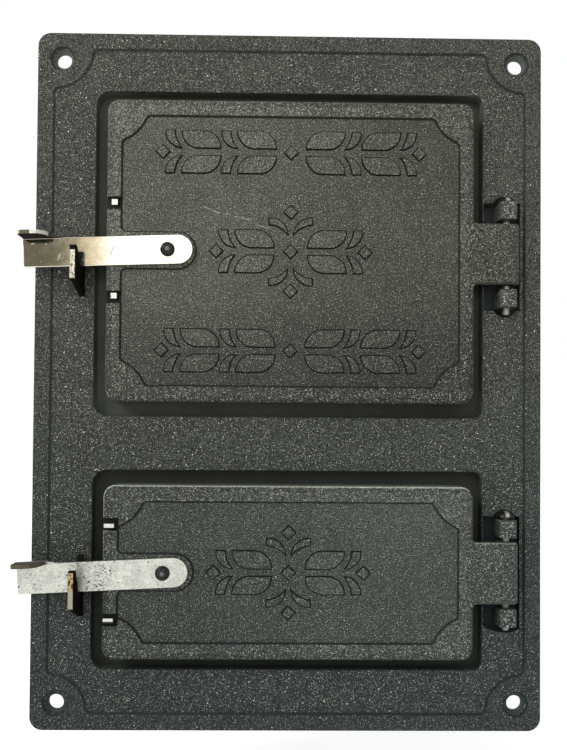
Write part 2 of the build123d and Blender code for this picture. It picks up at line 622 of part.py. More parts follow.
def make_shield(door):
    """The sheet-steel shield behind a door. Two clips pass through the door and are bent over."""
    left = CLIP_RIGHT_X - SHIELD_THICK
    right = DOOR_RIGHT - SKIRT_WALL - SHIELD_EDGE_GAP
    tall = door["tall"] - 2 * (SKIRT_WALL + SHIELD_EDGE_GAP)
    sheet = Pos((left + right) / 2, door["z"]) * RectangleRounded(right - left, tall, SHIELD_CORNER)
    shield = slab(sheet, SHIELD_BACK, SHIELD_FRONT)
    floor = DOOR_FRONT - SLOT_DEEP + CLIP_LIFT
    clip_front = floor + SHIELD_THICK
    for side in (-1, 1):
        z = door["z"] + side * TAB_SPREAD + door["clip_shift"]
        plan = box_outline(left, CLIP_RIGHT_X, -clip_front, -SHIELD_BACK)
        plan += box_outline(CLIP_RIGHT_X - door["clip_long"], CLIP_RIGHT_X, -clip_front, -floor)
        plan = blend_corners(plan, [(CLIP_RIGHT_X, -clip_front)], SHIELD_THICK * 0.9)
        shield += upright(plan, z - door["clip_wide"] / 2, z + door["clip_wide"] / 2)
    return shield


upper = {
    "z": UPPER_DOOR_Z, "tall": UPPER_DOOR_TALL, "pin_lift": UPPER_PIN_LIFT,
    "pivot_x": DOOR_LEFT + UPPER_PIVOT_INSET, "tilt": UPPER_LEVER_TILT,
    "keeper_x": DOOR_LEFT - UPPER_KEEPER_GAP, "keeper": UPPER_KEEPER_REACH,
    "clip_long": UPPER_CLIP_LONG, "clip_wide": UPPER_CLIP_WIDE, "clip_shift": UPPER_CLIP_SHIFT,
    "tab_end": UPPER_TAB_END, "bay_half": UPPER_BOTTOM_BAY_HALF,
}
lower = {
    "z": LOWER_DOOR_Z, "tall": LOWER_DOOR_TALL, "pin_lift": LOWER_PIN_LIFT,
    "pivot_x": DOOR_LEFT + LOWER_PIVOT_INSET, "tilt": LOWER_LEVER_TILT,
    "keeper_x": DOOR_LEFT - LOWER_KEEPER_GAP, "keeper": LOWER_KEEPER_REACH,
    "clip_long": LOWER_CLIP_LONG, "clip_wide": LOWER_CLIP_WIDE, "clip_shift": LOWER_CLIP_SHIFT,
    "tab_end": LOWER_TAB_END, "bay_half": LOWER_BOTTOM_BAY_HALF,
}

upper_ornament = raised(centre_ornament(), upper)
upper_ornament += raised(row_ornament(), upper, ROW_OFFSET_Z)
upper_ornament += raised(row_ornament(), upper, -ROW_OFFSET_Z)
lower_ornament = raised(centre_ornament(), lower)

parts = {
    "frame": make_frame((upper, lower)),
    "upper_door": make_door(upper, upper_ornament),
    "lower_door": make_door(lower, lower_ornament),
}
for level, door in (("upper", upper), ("lower", lower)):
    parts[f"{level}_hinge_pin"] = make_hinge_pin(door)
    parts[f"{level}_latch_lever"] = make_lever(door)
    parts[f"{level}_latch_rivet"] = make_rivet(door)
    parts[f"{level}_latch_washer"] = make_washer(door)
    parts[f"{level}_keeper"] = make_keeper(door)
    parts[f"{level}_heat_shield"] = make_shield(door)

os.makedirs("parts", exist_ok=True)
for name, solid in parts.items():
    export_step(solid, f"parts/{name}.step")
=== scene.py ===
import math
from functools import partial

import bpy
from mathutils import Matrix, Vector


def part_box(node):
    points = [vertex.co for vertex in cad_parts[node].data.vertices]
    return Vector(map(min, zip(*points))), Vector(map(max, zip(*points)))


# Stove door set: a cast-iron wall frame with a fire door above an ash door. Its shapes are those of the
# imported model, and this script gives each piece its finish and sets up the studio and the camera.
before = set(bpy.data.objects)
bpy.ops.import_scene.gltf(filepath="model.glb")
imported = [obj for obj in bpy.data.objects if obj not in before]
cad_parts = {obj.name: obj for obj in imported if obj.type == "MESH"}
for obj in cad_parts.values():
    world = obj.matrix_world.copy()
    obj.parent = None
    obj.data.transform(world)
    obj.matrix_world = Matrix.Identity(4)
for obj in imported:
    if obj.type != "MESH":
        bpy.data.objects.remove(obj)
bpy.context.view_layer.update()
bpy.ops.object.select_all(action="DESELECT")

# Camera: a plain lens half a metre in front of the plate and a little below its middle, turned slightly
# to the right and up, so that the set fills the picture as it does in the photograph.
IMAGE_WIDE = 567
IMAGE_TALL = 750
IMAGE_AXIS = (287.02, 404.63)
CAMERA_SENSOR = 36
CAMERA_LENS = 37.721
CAMERA_NEAREST = 0.01
CAMERA_PLACE = (-0.00834, -0.54774, -0.02728)
CAMERA_TURN = math.radians(-0.80)
CAMERA_PITCH = math.radians(1.12)
CAMERA_ROLL = math.radians(0.43)

camera_data = bpy.data.cameras.new("camera")
camera_data.sensor_width = CAMERA_SENSOR
camera_data.lens = CAMERA_LENS
camera_data.shift_x = (IMAGE_WIDE / 2 - IMAGE_AXIS[0]) / IMAGE_TALL
camera_data.shift_y = (IMAGE_AXIS[1] - IMAGE_TALL / 2) / IMAGE_TALL
camera_data.clip_start = CAMERA_NEAREST
camera = bpy.data.objects.new("camera", camera_data)
bpy.context.scene.collection.objects.link(camera)
aimed = Matrix.Rotation(CAMERA_TURN, 4, "Z") @ Matrix.Rotation(math.pi / 2 + CAMERA_PITCH, 4, "X")
camera.matrix_world = Matrix.Translation(CAMERA_PLACE) @ aimed @ Matrix.Rotation(CAMERA_ROLL, 4, "Z")
bpy.context.scene.camera = camera
bpy.context.scene.view_settings.view_transform = "Standard"

# Studio lamps: a large soft box high on the left in front of the plate, and a weaker one straight in front
# and above. The first throws the keepers' and levers' soft shadows down to the right.
LAMPS = {
    "key_softbox": {
        "place": (-1.25, -1.05, 0.95), "size": (0.70, 0.70), "watts": 17.0, "colour": (1.0, 0.985, 0.95)},
    "front_softbox": {
        "place": (0.02, -1.50, 0.52), "size": (0.92, 0.80), "watts": 5.5, "colour": (1.0, 1.0, 0.98)},
}

for name, lamp_facts in LAMPS.items():
    lamp_data = bpy.data.lights.new(name, "AREA")
    lamp_data.shape = "RECTANGLE"
    lamp_data.size, lamp_data.size_y = lamp_facts["size"]
    lamp_data.energy = lamp_facts["watts"]
    lamp_data.color = lamp_facts["colour"]
    lamp = bpy.data.objects.new(name, lamp_data)
    bpy.context.scene.collection.objects.link(lamp)
    to_middle = -Vector(lamp_facts["place"])
    turned = to_middle.to_track_quat("-Z", "Y").to_matrix().to_4x4()
    lamp.matrix_world = Matrix.Translation(lamp_facts["place"]) @ turned

# Studio air: white behind the set, as in the photograph, and an even grey light on it from all sides.
# Reflections see the white too, so that bright metal shows it.
AIR_LIGHT = 0.42
AIR_TINT = (0.97, 0.99, 1.0, 1)
WHITE = (1, 1, 1, 1)


class Tone:
    """A number, colour or direction in a finish. Sums with it add Math nodes."""

    def __init__(self, finish, socket):
        self.finish = finish
        self.socket = socket

    def reckon(self, operation, *values):
        return self.finish.node("Math", {"operation": operation}, dict(enumerate(values)))

    def __add__(self, other):
        return self.reckon("ADD", self, other)

    def __radd__(self, other):
        return self.reckon("ADD", other, self)

    def __sub__(self, other):
        return self.reckon("SUBTRACT", self, other)

    def __rsub__(self, other):
        return self.reckon("SUBTRACT", other, self)

    def __mul__(self, other):
        return self.reckon("MULTIPLY", self, other)

    def __rmul__(self, other):
        return self.reckon("MULTIPLY", other, self)

    def __pow__(self, other):
        return self.reckon("POWER", self, other)

    def __abs__(self):
        return self.reckon("ABSOLUTE", self)

    def at_least(self, other):
        return self.reckon("MAXIMUM", self, other)

    def at_most(self, other):
        return self.reckon("MINIMUM", self, other)


class Finish:
    """The nodes of one material, or of the world."""

    def __init__(self, owner):
        owner.use_nodes = True
        self.tree = owner.node_tree
        self.tree.nodes.clear()

    def node(self, kind, settings=None, sockets=None, output=0):
        """Adds a node, with its settings first and then its sockets' values or links."""
        made = self.tree.nodes.new("ShaderNode" + kind)
        for name, value in (settings or {}).items():
            setattr(made, name, value)
        for name, value in (sockets or {}).items():
            if isinstance(value, Tone):
                self.tree.links.new(value.socket, made.inputs[name])
            else:
                made.inputs[name].default_value = value
        return Tone(self, made.outputs[output]) if made.outputs else None


def seen_plainly(finish):
    """1 for the rays that show a background: the camera's, a reflection's and a clear piece's."""
    paths = finish.node("LightPath").socket.node.outputs
    camera_ray, glossy_ray, clear_ray = [
        Tone(finish, paths[ray]) for ray in ("Is Camera Ray", "Is Glossy Ray", "Is Transmission Ray")]
    return (camera_ray + glossy_ray + clear_ray).at_most(1)


world = bpy.data.worlds.new("studio")
bpy.context.scene.world = world
air = Finish(world)
air_light = air.node("Background", sockets={"Color": AIR_TINT, "Strength": AIR_LIGHT})
air_seen = air.node("Background", sockets={"Color": WHITE, "Strength": 1})
air_mixed = air.node("MixShader", sockets={0: seen_plainly(air), 1: air_light, 2: air_seen})
air.node("OutputWorld", sockets={"Surface": air_mixed})

# Floor: a pale board under the set, lit by itself so that it runs into the white behind it, and more so
# further out. The set hangs on a wall in use, so it stays clear of the board.
FLOOR_HEIGHT = -0.30
FLOOR_WIDE = 6
FLOOR_GREY = (0.82, 0.82, 0.82, 1)
FLOOR_NEAR = 0.5
FLOOR_FAR = 1.3
FLOOR_LIGHT_NEAR = 0.66
FLOOR_LIGHT_FAR = 0.80

# The outputs of Texture Coordinate for a piece's own points and for the directions that it faces.
POINT = 3
DIRECTION = 1


def between(value, low, high, at_low=0, at_high=1):
    """at_low where value is low or less, at_high where it is high or more, and smooth between."""
    sockets = {"Value": value, "From Min": low, "From Max": high, "To Min": at_low, "To Max": at_high}
    return value.finish.node("MapRange", {"interpolation_type": "SMOOTHSTEP"}, sockets)


def parts_of(finish, kind):
    """The three numbers of a piece's own point or direction."""
    split = finish.node("SeparateXYZ", sockets={0: finish.node("TexCoord", output=kind)})
    return [Tone(finish, socket) for socket in split.socket.node.outputs]


bpy.ops.mesh.primitive_plane_add(size=FLOOR_WIDE, location=(0, 0, FLOOR_HEIGHT))
floor = bpy.context.object
floor.name = "floor"
floor_material = bpy.data.materials.new("pale_board")
board = Finish(floor_material)
board_plain = board.node("BsdfDiffuse", sockets={"Color": FLOOR_GREY})
board_x, board_y = parts_of(board, POINT)[:2]
board_out = (board_x ** 2 + board_y ** 2) ** 0.5
board_light = between(board_out, FLOOR_NEAR, FLOOR_FAR, FLOOR_LIGHT_NEAR, FLOOR_LIGHT_FAR)
board_lit = board.node("Emission", sockets={"Color": WHITE, "Strength": seen_plainly(board) * board_light})
board_sum = board.node("AddShader", sockets={0: board_plain, 1: board_lit})
board.node("OutputMaterial", sockets={"Surface": board_sum})
floor.data.materials.append(floor_material)

# Dark cloth: hung in front on the left, with a golden hem. It glows by its own light, though it is no
# lamp, and only bright metal shows it: a painted reflection that turns the upper lever golden and then
# dark towards its ear.
CLOTH_PLACE = (-1.32, -1.52, 0.86)
CLOTH_SIZE = (1.72, 1.50, 1)
CLOTH_DARK = (0.165, 0.158, 0.112, 1)
CLOTH_GOLD = (1.30, 1.02, 0.52, 1)
CLOTH_HEM = (0.450, 0.495)


def mixed(share, first, second):
    """Two colours, from the first alone where share is 0 to the second alone where it is 1."""
    return share.finish.node("Mix", {"data_type": "RGBA"}, {0: share, 6: first, 7: second}, output=2)


bpy.ops.mesh.primitive_plane_add(size=1, location=CLOTH_PLACE, rotation=(math.pi / 2, 0, 0))
cloth = bpy.context.object
cloth.name = "glowing_reflection_cloth"
cloth.scale = CLOTH_SIZE
cloth.visible_camera = False
cloth.visible_diffuse = False
cloth.visible_transmission = False
cloth.visible_shadow = False
cloth_material = bpy.data.materials.new("glowing_reflection_cloth")
weave = Finish(cloth_material)
weave_hem = between(parts_of(weave, POINT)[0], *CLOTH_HEM)
# painted reflection: the cloth glows dark, with a golden hem brighter than white, though it is no lamp
weave_colour = mixed(weave_hem, CLOTH_DARK, CLOTH_GOLD)
weave_light = weave.node("Emission", sockets={"Color": weave_colour, "Strength": 1})
weave.node("OutputMaterial", sockets={"Surface": weave_light})
cloth.data.materials.append(cloth_material)
bpy.ops.object.select_all(action="DESELECT")

# Wall frame: one sand casting in grey iron, with a black, faintly green skin that is full of bright
# grains, whose glints are painted in as light specks. The sunk bands round the doors and the hinge
# pockets are smoother, without the grains.
# Painted shade: the iron's colour goes from the top colour down to the darker foot colour.
FRAME_TOP = (0.0340, 0.0365, 0.0285, 1)
FRAME_FOOT = (0.0125, 0.0205, 0.0185, 1)
# Painted light and shade in the sunk bands and the hinge pockets: a paler olive colour in the bands and a
# darker bluish one in the pockets.
SUNK_PAINTED_LIGHT = (0.0440, 0.0470, 0.0350, 1)
POCKET_PAINTED_SHADE = (0.0300, 0.0430, 0.0470, 1)
POCKET_LEFT = (0.1335, 0.1355)
IRON_GLINT = (0.42, 0.42, 0.37, 1)
IRON_SPARK = (0.75, 0.75, 0.68, 1)
IRON_HEIGHTS = (-0.24, 0.14)
CLOUDS = 35
GRAINS = 1150
GRIT = 2200
GLINTS = 1500
SPARKS = 1000
PLATE_FRONT = -0.0055
COLLAR_FRONT = 0.0095
DOORS_MIDDLE = -0.0216
DOORS_APART = 0.1088
DOORS_PARTED = (-0.07, -0.05)
LUG_LEFT = 0.1435
LUG_FOOT = -0.0025
LUG_MIDDLE = 0.150
LUG_HALF_WIDE = 0.0065
LUG_APART = 0.0301
LUG_HALF_TALL = 0.0063


def noise(place, scale, detail=2, roughness=0.6):
    sockets = {"Vector": place, "Scale": scale, "Detail": detail, "Roughness": roughness}
    return place.finish.node("TexNoise", sockets=sockets)


def near(value, centre, reach):
    """1 where value is within reach of centre."""
    return value.reckon("COMPARE", value, centre, reach)


def shaded(colour, level):
    """A colour made lighter or darker by a number."""
    return level.finish.node("VectorMath", {"operation": "SCALE"}, {0: colour, 3: level})


def paint_node(name, material):
    """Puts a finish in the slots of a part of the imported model."""
    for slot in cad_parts[name].material_slots:
        slot.material = material


def cast_iron(name, top, foot, wear):
    """Black cast iron. wear gives at a place how light the skin is, with painted light and shade, how smooth
    it is, and how rubbed it is, with painted highlights.
    """
    material = bpy.data.materials.new(name)
    iron = Finish(material)
    place = iron.node("TexCoord", output=POINT)
    x, y, z = parts_of(iron, POINT)
    clean_and_lit, smooth, rubbed = wear((x, y, z), parts_of(iron, DIRECTION))
    cloud = noise(place, CLOUDS, 3)
    grain = noise(place, GRAINS, 2, 0.7) * (1 - smooth) + smooth * 0.5
    level = between(cloud, 0.3, 0.7, 0.86, 1.14) * clean_and_lit * between(grain, 0.34, 0.66, 0.1, 1.9)
    # painted shade: darker towards the foot
    skin_above = mixed(between(z, *IRON_HEIGHTS), foot, top)
    # painted light and shade of the sunk bands and pockets
    skin_below = mixed(between(x, *POCKET_LEFT), SUNK_PAINTED_LIGHT, POCKET_PAINTED_SHADE)
    colour = shaded(mixed(smooth * 0.6, skin_above, skin_below), level)
    # painted glints and sparks: light specks in the colour that stand for glinting grains
    glint = between(noise(place, GLINTS, 0) + rubbed * 0.22, 0.665, 0.765) * (1 - smooth)
    spark = between(noise(place, SPARKS, 0) + rubbed * 0.1, 0.825, 0.84) * (1 - smooth)
    colour = mixed(spark, mixed(glint, colour, IRON_GLINT), IRON_SPARK)
    height = grain + noise(place, GRIT, 1) * 0.4
    bump = iron.node("Bump", sockets={"Strength": 0.6, "Distance": 0.0006, "Height": height})
    skin = iron.node("BsdfPrincipled", sockets={
        "Base Color": colour,
        "Metallic": glint * 0.6,
        "Roughness": 1 - clean_and_lit.at_most(1) * between(grain, 0.4, 0.7, 0.28, 0.5),
        "Specular IOR Level": 0.35,
        "Normal": bump,
    })
    iron.node("OutputMaterial", sockets={"Surface": skin})
    return material


def frame_wear_and_painted_light(point, facing):
    """Smooth where it is sunk, with painted light and shade there, a painted highlight on the lugs, painted
    shade along the foot of the border, and lighter towards the right.
    """
    x, y, z = point
    from_door = abs(abs(z - DOORS_MIDDLE) - DOORS_APART)
    # painted highlight: the hinge lugs are made lighter and get more glints
    lug = near(x, LUG_MIDDLE, LUG_HALF_WIDE) * near(from_door, LUG_APART, LUG_HALF_TALL)
    lug = lug * between(x, LUG_LEFT, LUG_LEFT + 0.001) * between(y, LUG_FOOT, LUG_FOOT + 0.001, 1, 0)
    sunk = between(y, PLATE_FRONT + 0.0004, PLATE_FRONT + 0.0016) * (1 - lug)
    sunk = sunk * between(facing[1], 0.2, 0.5, 1, 0) * between(y, COLLAR_FRONT, COLLAR_FRONT + 0.002, 1, 0)
    wall = sunk * between(facing[1], -0.9, -0.6)
    # painted shade: the slope at the foot of the raised border is darkened, more towards the right
    step = between(facing[1], -0.95, -0.87) * near(y, PLATE_FRONT - 0.0005, 0.0007)
    # painted light and shade in the sunk bands: paler on the upper left, darker on the right and round the
    # lower door, and the walls much paler, standing for the light they lack
    below = between(z, *DOORS_PARTED, 1, 0)
    band = between(x, -0.12, 0.12, 0.6, -0.2) - below * between(x, -0.12, 0.12, 0.95, 0.2)
    painted_recess_light_and_shade = sunk * band + wall * (1 - below * 0.6) * 1.8
    painted_step_shade = step * between(x, -0.16, 0.10, 0.15, 0.42)
    # lighter towards the right, with the painted step shade, lug highlight and recess light and shade
    clean_and_lit = between(x, -0.12, 0.14, 0.92, 1.08) * (1 - painted_step_shade + lug * 0.2) * (1 + painted_recess_light_and_shade)
    return clean_and_lit, sunk * 0.85, lug * 0.25 - sunk - step


paint_node("frame", cast_iron("frame_cast_iron", FRAME_TOP, FRAME_FOOT, frame_wear_and_painted_light))

# Doors: the same iron, each door one casting with its hinge tab and its raised ornament. The slopes of
# the ornament and of the sunk panel are painted dark, a painted shade that draws a dark line round them,
# and the doors' outer upper edges carry a painted highlight. Each door is also painted lighter and darker
# across and towards its foot, as light and shade. The upper door's panel has a few fine scratches.
# Painted shade: the doors' colour goes from the top colour down to the darker foot colour.
DOOR_TOP = (0.0640, 0.0670, 0.0510, 1)
DOOR_FOOT = (0.0350, 0.0460, 0.0400, 1)
# Painted light and shade on each door: how light it is on its latch side, on its hinge side and at its foot,
# and how strong the painted highlight on its upper edges is.
DOOR_PAINTED_LIGHT = {
    "upper_door": {"latch_side": 1.05, "hinge_side": 0.78, "foot": 0.60, "edge": 0.6},
    "lower_door": {"latch_side": 0.76, "hinge_side": 1.06, "foot": 1.00, "edge": 8.0},
}
DOOR_HALF_WIDE = 0.125
DOOR_RIM = 0.004
DOOR_NOTCH_DEPTH = -0.0142
ORNAMENT_HALF_WIDE = 0.0925
ORNAMENT_MARGIN = 0.019
PAD_TOP_DEPTH = -0.0155
BOSS_MIDDLE = -0.0960
BOSS_HALF_WIDE = 0.0340
BOSS_HALF_TALL = 0.0200
# How much light the painted shade leaves in the slopes of the pads and of the panel.
PAD_SLOPE_LEVEL = 0.02
PANEL_SLOPE_LEVEL = 0.30
SCRATCHES = [
    ((-0.0585, 0.1176), (-0.0483, 0.1133), 0.00040),
    ((-0.0374, 0.1112), (-0.0260, 0.1085), 0.00040),
    ((-0.0226, 0.1052), (-0.0145, 0.1031), 0.00035),
    ((-0.0440, 0.1128), (-0.0405, 0.1120), 0.00030),
]


def stroke(x, z, start, end, wide):
    """1 along a straight scratch between two points of a front face."""
    long = math.dist(start, end)
    ahead = ((end[0] - start[0]) / long, (end[1] - start[1]) / long)
    run = (x - start[0]) * ahead[0] + (z - start[1]) * ahead[1]
    aside = (x - start[0]) * ahead[1] - (z - start[1]) * ahead[0]
    return near(run, long / 2, long / 2) * near(aside, 0, wide / 2)


def door_wear_and_painted_light(name, point, facing):
    """Painted shade in the slopes and in the notches, paler on the pads, a painted highlight along the top
    edges, and painted light and shade across and down the door.
    """
    x, y, z = point
    low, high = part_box(name)
    middle = low[0] + DOOR_HALF_WIDE
    height = (low[2] + high[2]) / 2
    half_tall = (high[2] - low[2]) / 2
    door_light = DOOR_PAINTED_LIGHT[name]
    flat = abs(facing[1])
    inside = near(x, middle, DOOR_HALF_WIDE - DOOR_RIM) * near(z, height, half_tall - DOOR_RIM)
    boss = near(x, BOSS_MIDDLE, BOSS_HALF_WIDE) * near(z, height, BOSS_HALF_TALL)
    ornament = near(x, middle, ORNAMENT_HALF_WIDE) * near(z, height, half_tall - ORNAMENT_MARGIN) * (1 - boss)
    # painted shade: the slopes inside the rim, darkest on the ornament's pads
    shaded_slope = inside * between(flat, 0.82, 0.985, 1, 0)
    shaded_slope = shaded_slope * between(ornament, 0, 1, 1 - PANEL_SLOPE_LEVEL, 1 - PAD_SLOPE_LEVEL)
    # painted shade: the notches behind the door's front are darkened and smoothed
    deep = between(y, DOOR_NOTCH_DEPTH, DOOR_NOTCH_DEPTH + 0.0012, 0, 0.75)
    pad = inside * between(y, PAD_TOP_DEPTH - 0.0001, PAD_TOP_DEPTH + 0.0001, 1, 0)
    # painted highlight: the rounded outer edges that face up and to the left, on the door's upper part, are
    # lighter and get glints, most of all on the lower door
    edge = between(flat, 0.75, 0.96, 1, 0) * between(facing[2] - facing[0] * 0.5, 0.1, 0.5)
    edge = (1 - inside) * edge * between(z, height, height + half_tall * 0.8) * door_light["edge"]
    # painted light and shade across and down the door
    across = between(x, -0.08, 0.10, door_light["latch_side"], door_light["hinge_side"])
    upwards = between(z, height - half_tall * 0.9, height - half_tall * 0.1, door_light["foot"], 1)
    bare = (1 - shaded_slope) * (1 - deep) * (0.88 + inside * 0.12 + edge + pad * 0.12)
    rubbed = edge * 0.1 - shaded_slope * 2 - deep
    for start, end, wide in SCRATCHES:
        rubbed = rubbed + stroke(x, z, start, end, wide) * 1.3
    return across * upwards * bare, deep, rubbed


for name in DOOR_PAINTED_LIGHT:
    paint_node(name, cast_iron(name + "_cast_iron", DOOR_TOP, DOOR_FOOT, partial(door_wear_and_painted_light, name)))

# Hinge pins: turned steel with a black, smooth scale, and loose in the lugs and in the doors' tabs. Their
# shanks are painted lighter, with a painted highlight down their fronts, and the crowns of their heads
# carry a painted highlight.
PIN_HEAD_TALL = 0.0044
# The grey of rubbed steel on the rivets' crowns and of the painted highlights on the pins.
RUBBED_AND_HIGHLIT_STEEL = (0.42, 0.42, 0.39, 1)
SCALE_PATCHES = 520


def grey(level):
    return (level, level, level, 1)


def black_steel(name, black, metal, shine, wear):
    """Black steel. wear gives how much of the bright steel shows at a place, as rubbed steel on the rivets
    and as painted highlights on the pins.
    """
    material = bpy.data.materials.new(name)
    scale = Finish(material)
    place = scale.node("TexCoord", output=POINT)
    patch = noise(place, SCALE_PATCHES, 3)
    colour = mixed(between(patch, 0.5, 0.72), grey(black), grey(black * 3))
    colour = mixed(wear(parts_of(scale, POINT), parts_of(scale, DIRECTION)), colour, RUBBED_AND_HIGHLIT_STEEL)
    bump = scale.node("Bump", sockets={"Strength": 0.2, "Distance": 0.0002, "Height": patch})
    skin = scale.node("BsdfPrincipled", sockets={
        "Base Color": colour,
        "Metallic": metal,
        "Roughness": between(patch, 0.4, 0.7, shine, shine + 0.2),
        "Specular IOR Level": 0.2,
        "Normal": bump,
    })
    scale.node("OutputMaterial", sockets={"Surface": skin})
    return material


def pin_painted_highlights(name, point, facing):
    """The shank painted lighter with a painted highlight down its front, and a painted highlight on the crown
    of the head.
    """
    x, y, z = point
    low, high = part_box(name)
    head_foot = high[2] - PIN_HEAD_TALL
    shank = between(z, head_foot - 0.0003, head_foot, 1, 0)
    aside = abs(x - (low[0] + high[0]) / 2)
    crown = between(facing[2], 0.15, 0.4) * between(aside, 0.0006, 0.0020, 1, 0)
    return shank * between(aside, 0.0008, 0.0028, 0.6, 0.15) + crown * (1 - shank) * 0.9


for name in ("upper_hinge_pin", "lower_hinge_pin"):
    paint_node(name, black_steel(name + "_steel", 0.016, 0.5, 0.22, partial(pin_painted_highlights, name)))

# Latch rivets: black steel domes that the levers turn on, closed over a washer on the door's back. The
# dome's crown is a little flattened and greyer.
CROWN_INNER = 0.0006
CROWN_OUTER = 0.0019


def rivet_wear(name, point, facing):
    """On the crown of the dome."""
    x, y, z = point
    low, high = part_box(name)
    apart = (x - (low[0] + high[0]) / 2) ** 2 + (z - (low[2] + high[2]) / 2) ** 2
    return between(apart, CROWN_INNER ** 2, CROWN_OUTER ** 2, 0.32, 0)


for name in ("upper_latch_rivet", "lower_latch_rivet"):
    paint_node(name, black_steel(name + "_steel", 0.010, 0, 0.2, partial(rivet_wear, name)))

# Latch levers: flat bars of bare steel with an ear bent forward at the left end. The upper one is
# polished, with a few bright marks and a gouge, and its ear carries painted shade underneath, is dark on
# its right side and carries a painted highlight on its front. The lower one is duller, pitted beside its
# keeper, and its ear is browned with rust.
UPPER_LEVER_BRIGHT = (0.68, 0.66, 0.59, 1)
UPPER_LEVER_DULL = (0.65, 0.62, 0.53, 1)
LOWER_LEVER_BRIGHT = (0.540, 0.545, 0.490, 1)
LOWER_LEVER_DULL = (0.435, 0.445, 0.405, 1)
# Black scale, and the near black of painted shade under the upper ear and on the keepers' sides.
BLACK_SCALE_AND_SHADE = (0.014, 0.012, 0.010, 1)
RUST = (0.115, 0.062, 0.028, 1)
PIT = (0.035, 0.030, 0.024, 1)
EAR_TOP_GREY = (0.050, 0.050, 0.048, 1)
# The bright marks on the upper lever, and the painted highlight on its ear.
MARKS_AND_HIGHLIGHT = (0.75, 0.73, 0.66, 1)
STEEL_PATCHES = 140
BRUSH_LINES = 1500
STEEL_GRAINS = 1300
EAR_RIGHT = -0.128
EAR_LOW = 0.0915
EAR_FOOT_DEPTH = -0.0205
# Painted highlight on the front of the upper ear: its middle and half width across.
UPPER_EAR_HIGHLIGHT = (-0.1657, 0.0050)
LOWER_EAR = (-0.158, 0.028)
LEVER_MARKS = [
    ((-0.1738, 0.0896), (-0.1718, 0.0903), 0.0011),
    ((-0.1641, 0.0904), (-0.1638, 0.0891), 0.0007),
    ((-0.1552, 0.0832), (-0.1560, 0.0788), 0.0003),
    ((-0.1543, 0.0842), (-0.1547, 0.0798), 0.0003),
]
LEVER_GOUGE = ((-0.1185, 0.0890), (-0.1206, 0.0828), 0.0005)


def bare_steel(name, bright, dull, shine, dirt, grain=0):
    """Bare steel. dirt gives the colour at a place of what lies on it and of painted shade, how much of it
    shows, and the pits.
    """
    material = bpy.data.materials.new(name)
    steel = Finish(material)
    place = steel.node("TexCoord", output=POINT)
    patch = noise(place, STEEL_PATCHES, 4)
    brush = noise(steel.node("Mapping", sockets={"Vector": place, "Scale": (0.06, 1, 1)}), BRUSH_LINES, 2)
    speck = between(noise(place, STEEL_GRAINS, 2), 0.35, 0.65, 1 - grain, 1 + grain)
    colour = shaded(mixed(between(patch, 0.38, 0.62), dull, bright), speck)
    cover, share, pits = dirt(place, parts_of(steel, POINT), parts_of(steel, DIRECTION))
    bump = steel.node("Bump", sockets={"Strength": 0.3, "Distance": 0.0001, "Height": brush * 0.01 - pits})
    skin = steel.node("BsdfPrincipled", sockets={
        "Base Color": mixed(share, colour, cover),
        "Metallic": 1 - share,
        "Roughness": between(patch, 0.3, 0.7, shine, shine + 0.03) + share * 0.5,
        "Specular IOR Level": 0.0,
        "Normal": bump,
    })
    steel.node("OutputMaterial", sockets={"Surface": skin})
    return material


def upper_lever_marks_and_painted_light(place, point, facing):
    """A few specks, a gouge and bright marks, painted shade under the ear, dark on its side, and a painted
    highlight on the ear's front.
    """
    x, y, z = point
    specks = between(noise(place, 700, 1), 0.72, 0.80)
    ear = between(x, EAR_RIGHT - 0.004, EAR_RIGHT, 1, 0)
    # painted shade: the ear's underside is near black
    painted_shade_under_ear = ear * between(facing[2], -0.5, -0.2, 1, 0) * between(z, EAR_LOW - 0.001, EAR_LOW)
    flank = ear * between(facing[0], 0.05, 0.15)
    dark = (painted_shade_under_ear * 0.97).at_least(flank * 0.9)
    front = near(facing[1], -1, 0.05)
    # painted highlight: the front of the upper ear is made bright
    rubbed = near(x, *UPPER_EAR_HIGHLIGHT) * near(facing[2], 0, 0.5)
    rubbed = rubbed * between(y, EAR_FOOT_DEPTH - 0.002, EAR_FOOT_DEPTH, 1, 0)
    for start, end, wide in LEVER_MARKS:
        rubbed = rubbed + stroke(x, z, start, end, wide) * front
    gouge = stroke(x, z, *LEVER_GOUGE) * front * 0.7
    share = (specks * 0.5 + gouge + rubbed * 0.8).at_least(dark)
    return mixed(rubbed, BLACK_SCALE_AND_SHADE, MARKS_AND_HIGHLIGHT), share, specks * 0.3 + gouge


def lower_lever_dirt(place, point, facing):
    """Pits that crowd beside the keeper, and a rusty ear with a grey top."""
    x, y, z = point
    beside = between(x, -0.155, -0.138) * between(x, -0.120, -0.108, 1, 0)
    crowd = noise(place, 110, 2) * 0.22 - 0.11
    worn = between(x, -0.125, -0.110, 0.035, 0)
    pits = between(noise(place, 640, 3) + crowd + worn + beside * 0.06, 0.64, 0.72)
    ear = near(x, *LOWER_EAR) * between(y, EAR_FOOT_DEPTH - 0.002, EAR_FOOT_DEPTH, 1, 0)
    brown = between(noise(place, 260, 3), 0.35, 0.6, 0.35, 1)
    cover = mixed(ear * between(facing[2], 0.4, 0.8), mixed(ear * brown, PIT, RUST), EAR_TOP_GREY)
    return cover, (pits * 0.85).at_least(ear * 0.9), pits


paint_node("upper_latch_lever", bare_steel(
    "upper_lever_steel", UPPER_LEVER_BRIGHT, UPPER_LEVER_DULL, 0.10, upper_lever_marks_and_painted_light))
paint_node("lower_latch_lever", bare_steel(
    "lower_lever_steel", LOWER_LEVER_BRIGHT, LOWER_LEVER_DULL, 0.34, lower_lever_dirt, grain=0.20))

